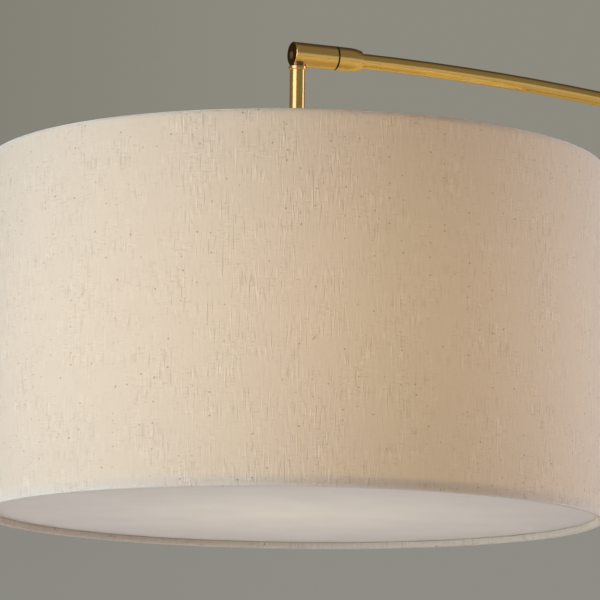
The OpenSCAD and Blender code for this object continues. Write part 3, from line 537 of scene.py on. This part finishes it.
def linenFinish():
    material, tree, shader = newFinish("linenWeave", Roughness=0.9)
    shader.inputs["Specular IOR Level"].default_value = 0.12
    shader.inputs["Sheen Weight"].default_value = 0.10
    shader.inputs["Sheen Roughness"].default_value = 0.5
    shader.inputs["Sheen Tint"].default_value = (1.0, 0.88, 0.70, 1)
    part = placeParts(tree)
    turn = calc(tree, "ARCTAN2", part["Y"], part["X"])
    around = calc(tree, "MULTIPLY", turn, shadeRadius)
    up = part["Z"]
    flat = addNode(tree, "CombineXYZ", {"X": around, "Y": up}).outputs[0]

    relief, tone = 0.0, 0.0
    for yarn in yarns.values():
        streaks = yarnStreaks(tree, flat, yarn["size"], yarn["span"], yarn["offset"], yarn.get("detail", 0.0))
        relief = calc(tree, "ADD", relief, calc(tree, "MULTIPLY", streaks, yarn["relief"]))
        tone = calc(tree, "ADD", tone, calc(tree, "MULTIPLY", streaks, yarn["tone"]))
    cloud = addNode(tree, "TexNoise", {"Vector": flat, "Scale": 30.0, "Detail": 3.0}).outputs["Fac"]
    busy = ramp(tree, cloud, 0.35, 0.68, (0.30, 1.5))  # some areas are calmer than others

    pitch = 2 * math.pi / linen["threadPitch"]
    warp = calc(tree, "SINE", calc(tree, "MULTIPLY", around, pitch))
    weft = calc(tree, "SINE", calc(tree, "MULTIPLY", up, pitch))
    weave = calc(tree, "MULTIPLY", calc(tree, "MULTIPLY", warp, weft), 0.07)

    height = calc(tree, "ADD", calc(tree, "MULTIPLY", relief, busy), weave)
    tone = calc(tree, "MULTIPLY", calc(tree, "SUBTRACT", tone, linen["evenTone"]), busy)
    tone = calc(tree, "ADD", tone, 0.5, clamp=True)
    shade = tint(tree, tone, rgba(linen["shadow"]), rgba(linen["slub"]))

    # small dark flecks with ragged edges
    jitter = addNode(tree, "TexNoise", {"Vector": flat, "Scale": 1500.0, "Detail": 1.0}).outputs["Color"]
    ragged = addNode(
        tree, "VectorMath", {0: jitter, 1: (0.0011, 0.0011, 0), 2: flat}, operation="MULTIPLY_ADD",
    ).outputs[0]
    spots = addNode(tree, "TexVoronoi", {
        "Vector": ragged, "Scale": linen["fleckCell"], "Randomness": 1.0,
    }, voronoi_dimensions="2D")
    chosen = addNode(tree, "SeparateColor", {0: spots.outputs["Color"]}).outputs[0]
    size = ramp(tree, chosen, 0.55, 1.0, (0.024, 0.064))
    near = calc(tree, "LESS_THAN", spots.outputs["Distance"], size)
    rare = calc(tree, "GREATER_THAN", chosen, linen["fleckShare"])
    depth = calc(tree, "MULTIPLY", chosen, linen["fleckDepth"])
    fleck = calc(tree, "MULTIPLY", calc(tree, "MULTIPLY", near, rare), depth)
    shade = tint(tree, fleck, shade, rgba(linen["fleck"]))
    tree.links.new(shade, shader.inputs["Base Color"])

    bump = addNode(tree, "Bump", {"Strength": 1.0, "Distance": linen["relief"], "Height": height})
    tree.links.new(bump.outputs[0], shader.inputs["Normal"])

    # light comes through the single cloth, and less of it through the turned edges
    fromLow = ramp(tree, up, linen["hemBand"] * 0.45, linen["hemBand"] * 1.25, (0.4, 1.0))
    fromTop = ramp(tree, up, shadeHeight - 0.003, shadeHeight - 0.006, (0.6, 1.0))
    share = calc(tree, "MULTIPLY", calc(tree, "MULTIPLY", fromLow, fromTop), linen["glowShare"])
    makeTranslucent(material, linen["glow"], share)
    return material


shadeCloth = {
    "roll": 0.00312,  # radius of the rolled edge round its wire
    "hem": 0.0055,  # how far the turned edge reaches up inside
    "thickness": 0.0006,
    "seamAngle": 133,  # degrees round the axis from +X, on the far side
    "overlap": 0.012,
    "lapEnd": 0.004,  # width over which the lap's end dies away
    "lapRise": 0.0005,
    "hemLapRise": -0.0006,
    "around": 720,
    "rows": 30,
    "edgeSteps": 12,  # steps round each rolled edge
    "waver": 0.00022,  # how far the rims stray from a true circle
    "hemWaver": 0.0004,
    "notch": 0.007,
    "notchRows": 5,  # rows of faces cut away at a notch
}


# Profile of the cloth from the inner hem at the bottom, round the rim, up and over the top
def clothProfile():
    roll, hem, rows = shadeCloth["roll"], shadeCloth["hem"], shadeCloth["rows"]
    steps = shadeCloth["edgeSteps"]
    middle = shadeRadius - roll
    points = [(middle - roll, hem), (middle - roll, (hem + roll) / 2)]
    for i in range(steps + 1):
        angle = math.pi + math.pi * i / steps
        points.append((middle + roll * math.cos(angle), roll + roll * math.sin(angle)))
    for i in range(1, rows):
        points.append((shadeRadius, roll + (shadeHeight - 2 * roll) * i / rows))
    for i in range(steps + 1):
        angle = math.pi * i / steps
        points.append((middle + roll * math.cos(angle), shadeHeight - roll + roll * math.sin(angle)))
    points += [(middle - roll, shadeHeight - (hem + roll) / 2), (middle - roll, shadeHeight - hem)]
    return points


def makeShadeCloth():
    profile = clothProfile()
    count = shadeCloth["around"]
    lapAngle = shadeCloth["overlap"] / shadeRadius
    lapEnd = shadeCloth["lapEnd"]
    armAngles = [i * math.tau / 3 for i in range(3)]
    seam = math.radians(shadeCloth["seamAngle"])
    mesh = bmesh.new()
    rings = []
    for i in range(count):
        angle = seam + math.tau * i / count
        past = math.tau * i / count  # angle past the seam
        lap = max(0.0, min(1.0, (lapAngle - past) / lapEnd + 1))
        column = []
        for radius, z in profile:
            nearRim = math.exp(-min(z, shadeHeight - z) / 0.02)
            spot = Vector((math.cos(angle) * 3, math.sin(angle) * 3, z * 6))
            stray = shadeCloth["waver"] * (0.35 + nearRim) * noise.noise(spot * 2.2)
            inner = radius < shadeRadius - shadeCloth["roll"]
            radius += stray + shadeCloth["hemLapRise" if inner else "lapRise"] * lap
            onHem = inner and 0.003 < min(z, shadeHeight - z)
            lift = shadeCloth["hemWaver"] * noise.noise(spot * 3.1) if onHem else 0.0
            column.append(mesh.verts.new((radius * math.cos(angle), radius * math.sin(angle), z + lift)))
        rings.append(column)
    last = len(profile) - 1
    for i in range(count):
        one, two = rings[i], rings[(i + 1) % count]
        angle = seam + math.tau * (i + 0.5) / count
        atArm = any(
            abs((angle - arm + math.pi) % math.tau - math.pi) * shadeRadius < shadeCloth["notch"] / 2
            for arm in armAngles
        )
        for k in range(last):
            if atArm and k >= last - shadeCloth["notchRows"]:
                continue  # the turned edge is cut away round each spider arm
            mesh.faces.new((one[k], two[k], two[k + 1], one[k + 1]))
    for face in mesh.faces:
        face.smooth = True
    data = bpy.data.meshes.new("shadeLinen")
    mesh.to_mesh(data)
    mesh.free()
    cloth = bpy.data.objects.new("shadeLinen", data)
    cloth.location = (axisX, 0, rimZ)
    bpy.context.scene.collection.objects.link(cloth)
    solid = cloth.modifiers.new("thickness", "SOLIDIFY")
    solid.thickness = shadeCloth["thickness"]
    solid.offset = -1
    data.materials.append(linenFinish())
    length = sum((Vector(b) - Vector(a)).length for a, b in zip(profile, profile[1:]))
    return cloth, length


shadeLinen, cutHeight = makeShadeCloth()
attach(shadeLinen, "head")
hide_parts("shade_fabric")
print("shade cloth made, cut height", round(cutHeight, 4))


# Warm light inside the shade. Nothing blocks it, so each lamp lights only the pieces listed:
# one shines through the front of the cloth, one fills the inside of the drum. Lift is measured
# from the lower rim, back from the axis
glows = {
    "frontGlow": dict(
        pieces=[shadeLinen], lift=0.125, back=0.225, size=(0.06, 0.27), spread=112, power=0.53,
        color=(1.0, 0.85, 0.70),
    ),
    "insideGlow": dict(
        pieces=[cadNodes[name] for name in (
            "shade_liner", "diffuser", "spider", "spider_nut", "socket_cap", "socket_shell",
        )],
        lift=0.20, back=0.0, size=0.05, power=1.12, color=(1.0, 0.95, 0.70),
    ),
}


glowSide = 3  # degrees round the shade from the camera's side, where the front lamp points


def addGlow(name, pieces, lift, back, size, power, color, spread=None):
    data = bpy.data.lights.new(name, "AREA" if spread else "POINT")
    if spread:
        data.shape = "RECTANGLE"
        data.size, data.size_y = size
        data.spread = math.radians(spread)
    else:
        data.shadow_soft_size = size
    data.energy = power
    data.color = color
    data.use_shadow = False
    lamp = bpy.data.objects.new(name, data)
    lamp.visible_camera = lamp.visible_glossy = lamp.visible_transmission = False
    bpy.context.scene.collection.objects.link(lamp)
    angle = math.radians(glowSide - view["side"])
    outward = Vector((math.sin(angle), -math.cos(angle), 0))
    place = Vector((axisX, 0, rimZ + lift)) - back * outward
    lamp.matrix_world = Matrix.Translation(place) @ outward.to_track_quat("-Z", "Y").to_matrix().to_4x4()
    lightOnly(lamp, pieces)
    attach(lamp, "head")


for glowName, glowFacts in glows.items():
    addGlow(glowName, **glowFacts)


# Felt under the base

felt = {
    "color": (0.055, 0.053, 0.05),
    "edge": 0.0009,
    "fuzz": 0.00012,  # relief of its underside
    "rings": 40,
    "around": 180,
}


def makeFelt():
    radius = (feltHigh.x - feltLow.x) / 2
    thick = feltHigh.z - feltLow.z
    edge = felt["edge"]
    profile = [(radius * i / felt["rings"], 0.0) for i in range(1, felt["rings"])]
    shoulder = radius - edge * 0.3
    profile += [(shoulder, 0.0), (radius, edge), (radius, thick - edge), (shoulder, thick)]
    mesh = bmesh.new()
    low = mesh.verts.new((0, 0, 0))
    top = mesh.verts.new((0, 0, thick))
    rings = []
    for r, z in profile:
        ring = []
        for i in range(felt["around"]):
            angle = math.tau * i / felt["around"]
            x, y = r * math.cos(angle), r * math.sin(angle)
            fuzz = felt["fuzz"] * noise.noise(Vector((x * 90, y * 90, z * 400)))
            rise = max(0.0, fuzz) if z == 0 else 0.0
            ring.append(mesh.verts.new((x, y, z + rise)))
        rings.append(ring)
    n = felt["around"]
    for i in range(n):
        j = (i + 1) % n
        mesh.faces.new((low, rings[0][j], rings[0][i]))
        for inner, outer in zip(rings, rings[1:]):
            mesh.faces.new((inner[i], inner[j], outer[j], outer[i]))
        mesh.faces.new((rings[-1][i], rings[-1][j], top))
    bmesh.ops.recalc_face_normals(mesh, faces=mesh.faces)
    for face in mesh.faces:
        face.smooth = True
    data = bpy.data.meshes.new("feltPad")
    mesh.to_mesh(data)
    mesh.free()
    pad = bpy.data.objects.new("feltPad", data)
    pad.location = (0, 0, feltLow.z)
    bpy.context.scene.collection.objects.link(pad)
    material, tree, shader = newFinish("woolFelt", Roughness=1.0)
    shader.inputs["Sheen Weight"].default_value = 0.4
    place = addNode(tree, "TexCoord").outputs["Object"]
    fibre = addNode(tree, "TexNoise", {
        "Vector": place, "Scale": 900.0, "Detail": 5.0, "Distortion": 2.0,
    }).outputs["Fac"]
    shade = tint(tree, ramp(tree, fibre, 0.3, 0.7), rgba(felt["color"], 0.6), rgba(felt["color"], 1.5))
    tree.links.new(shade, shader.inputs["Base Color"])
    bump = addNode(tree, "Bump", {"Strength": 0.7, "Distance": 0.0003, "Height": fibre})
    tree.links.new(bump.outputs[0], shader.inputs["Normal"])
    data.materials.append(material)
    return pad, radius


feltPad, feltRadius = makeFelt()
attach(feltPad, "stand")
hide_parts("base_felt")
print("felt pad made")


# Output

bpy.context.scene.view_settings.view_transform = "Standard"
